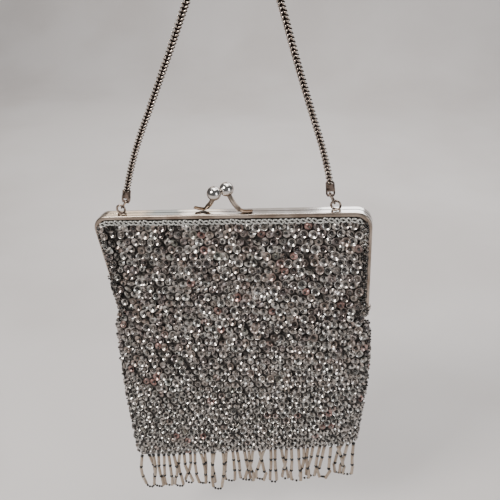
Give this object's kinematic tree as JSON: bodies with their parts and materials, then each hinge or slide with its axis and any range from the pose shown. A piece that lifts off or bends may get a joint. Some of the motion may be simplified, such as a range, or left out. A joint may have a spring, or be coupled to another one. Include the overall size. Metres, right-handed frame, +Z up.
{
  "type": "beaded sequin evening purse with kiss-lock frame",
  "caption": "Evening purse of sequins and beads hanging by its chain, with a polished kiss-lock frame and a looped bead fringe.",
  "frame": {"origin": "underside of the chain at the top of its loop, where the purse hangs", "axes": "+Z up, +X to the right as seen from the front, front towards -Y"},
  "size_m": [0.2082, 0.0342, 0.4803],
  "materials": {
    "nickel": "polished nickel plate, softly worn",
    "pewter": "dark pewter-coloured plate, bright on the high spots",
    "sequins": "gunmetal cupped sequins with dark seed beads on crocheted thread",
    "thread": "silvery grey crocheted thread",
    "beads": "pale champagne bugle beads with dark gunmetal seed beads"
  },
  "bodies": {
    "root": {"frame_front_half": "nickel", "frame_back_half": "nickel", "hinge_rivet_left": "nickel", "hinge_rivet_right": "nickel", "clasp_knob_left": "nickel", "clasp_knob_right": "nickel", "ear_left": "pewter", "ear_right": "pewter", "jump_link_left": "pewter", "jump_link_right": "pewter", "end_cap_left": "pewter", "end_cap_right": "pewter", "chain": "pewter", "pouch": "sequins", "edging_front": "thread", "edging_back": "thread", "fringe": "beads"}
  },
  "joints": []
}
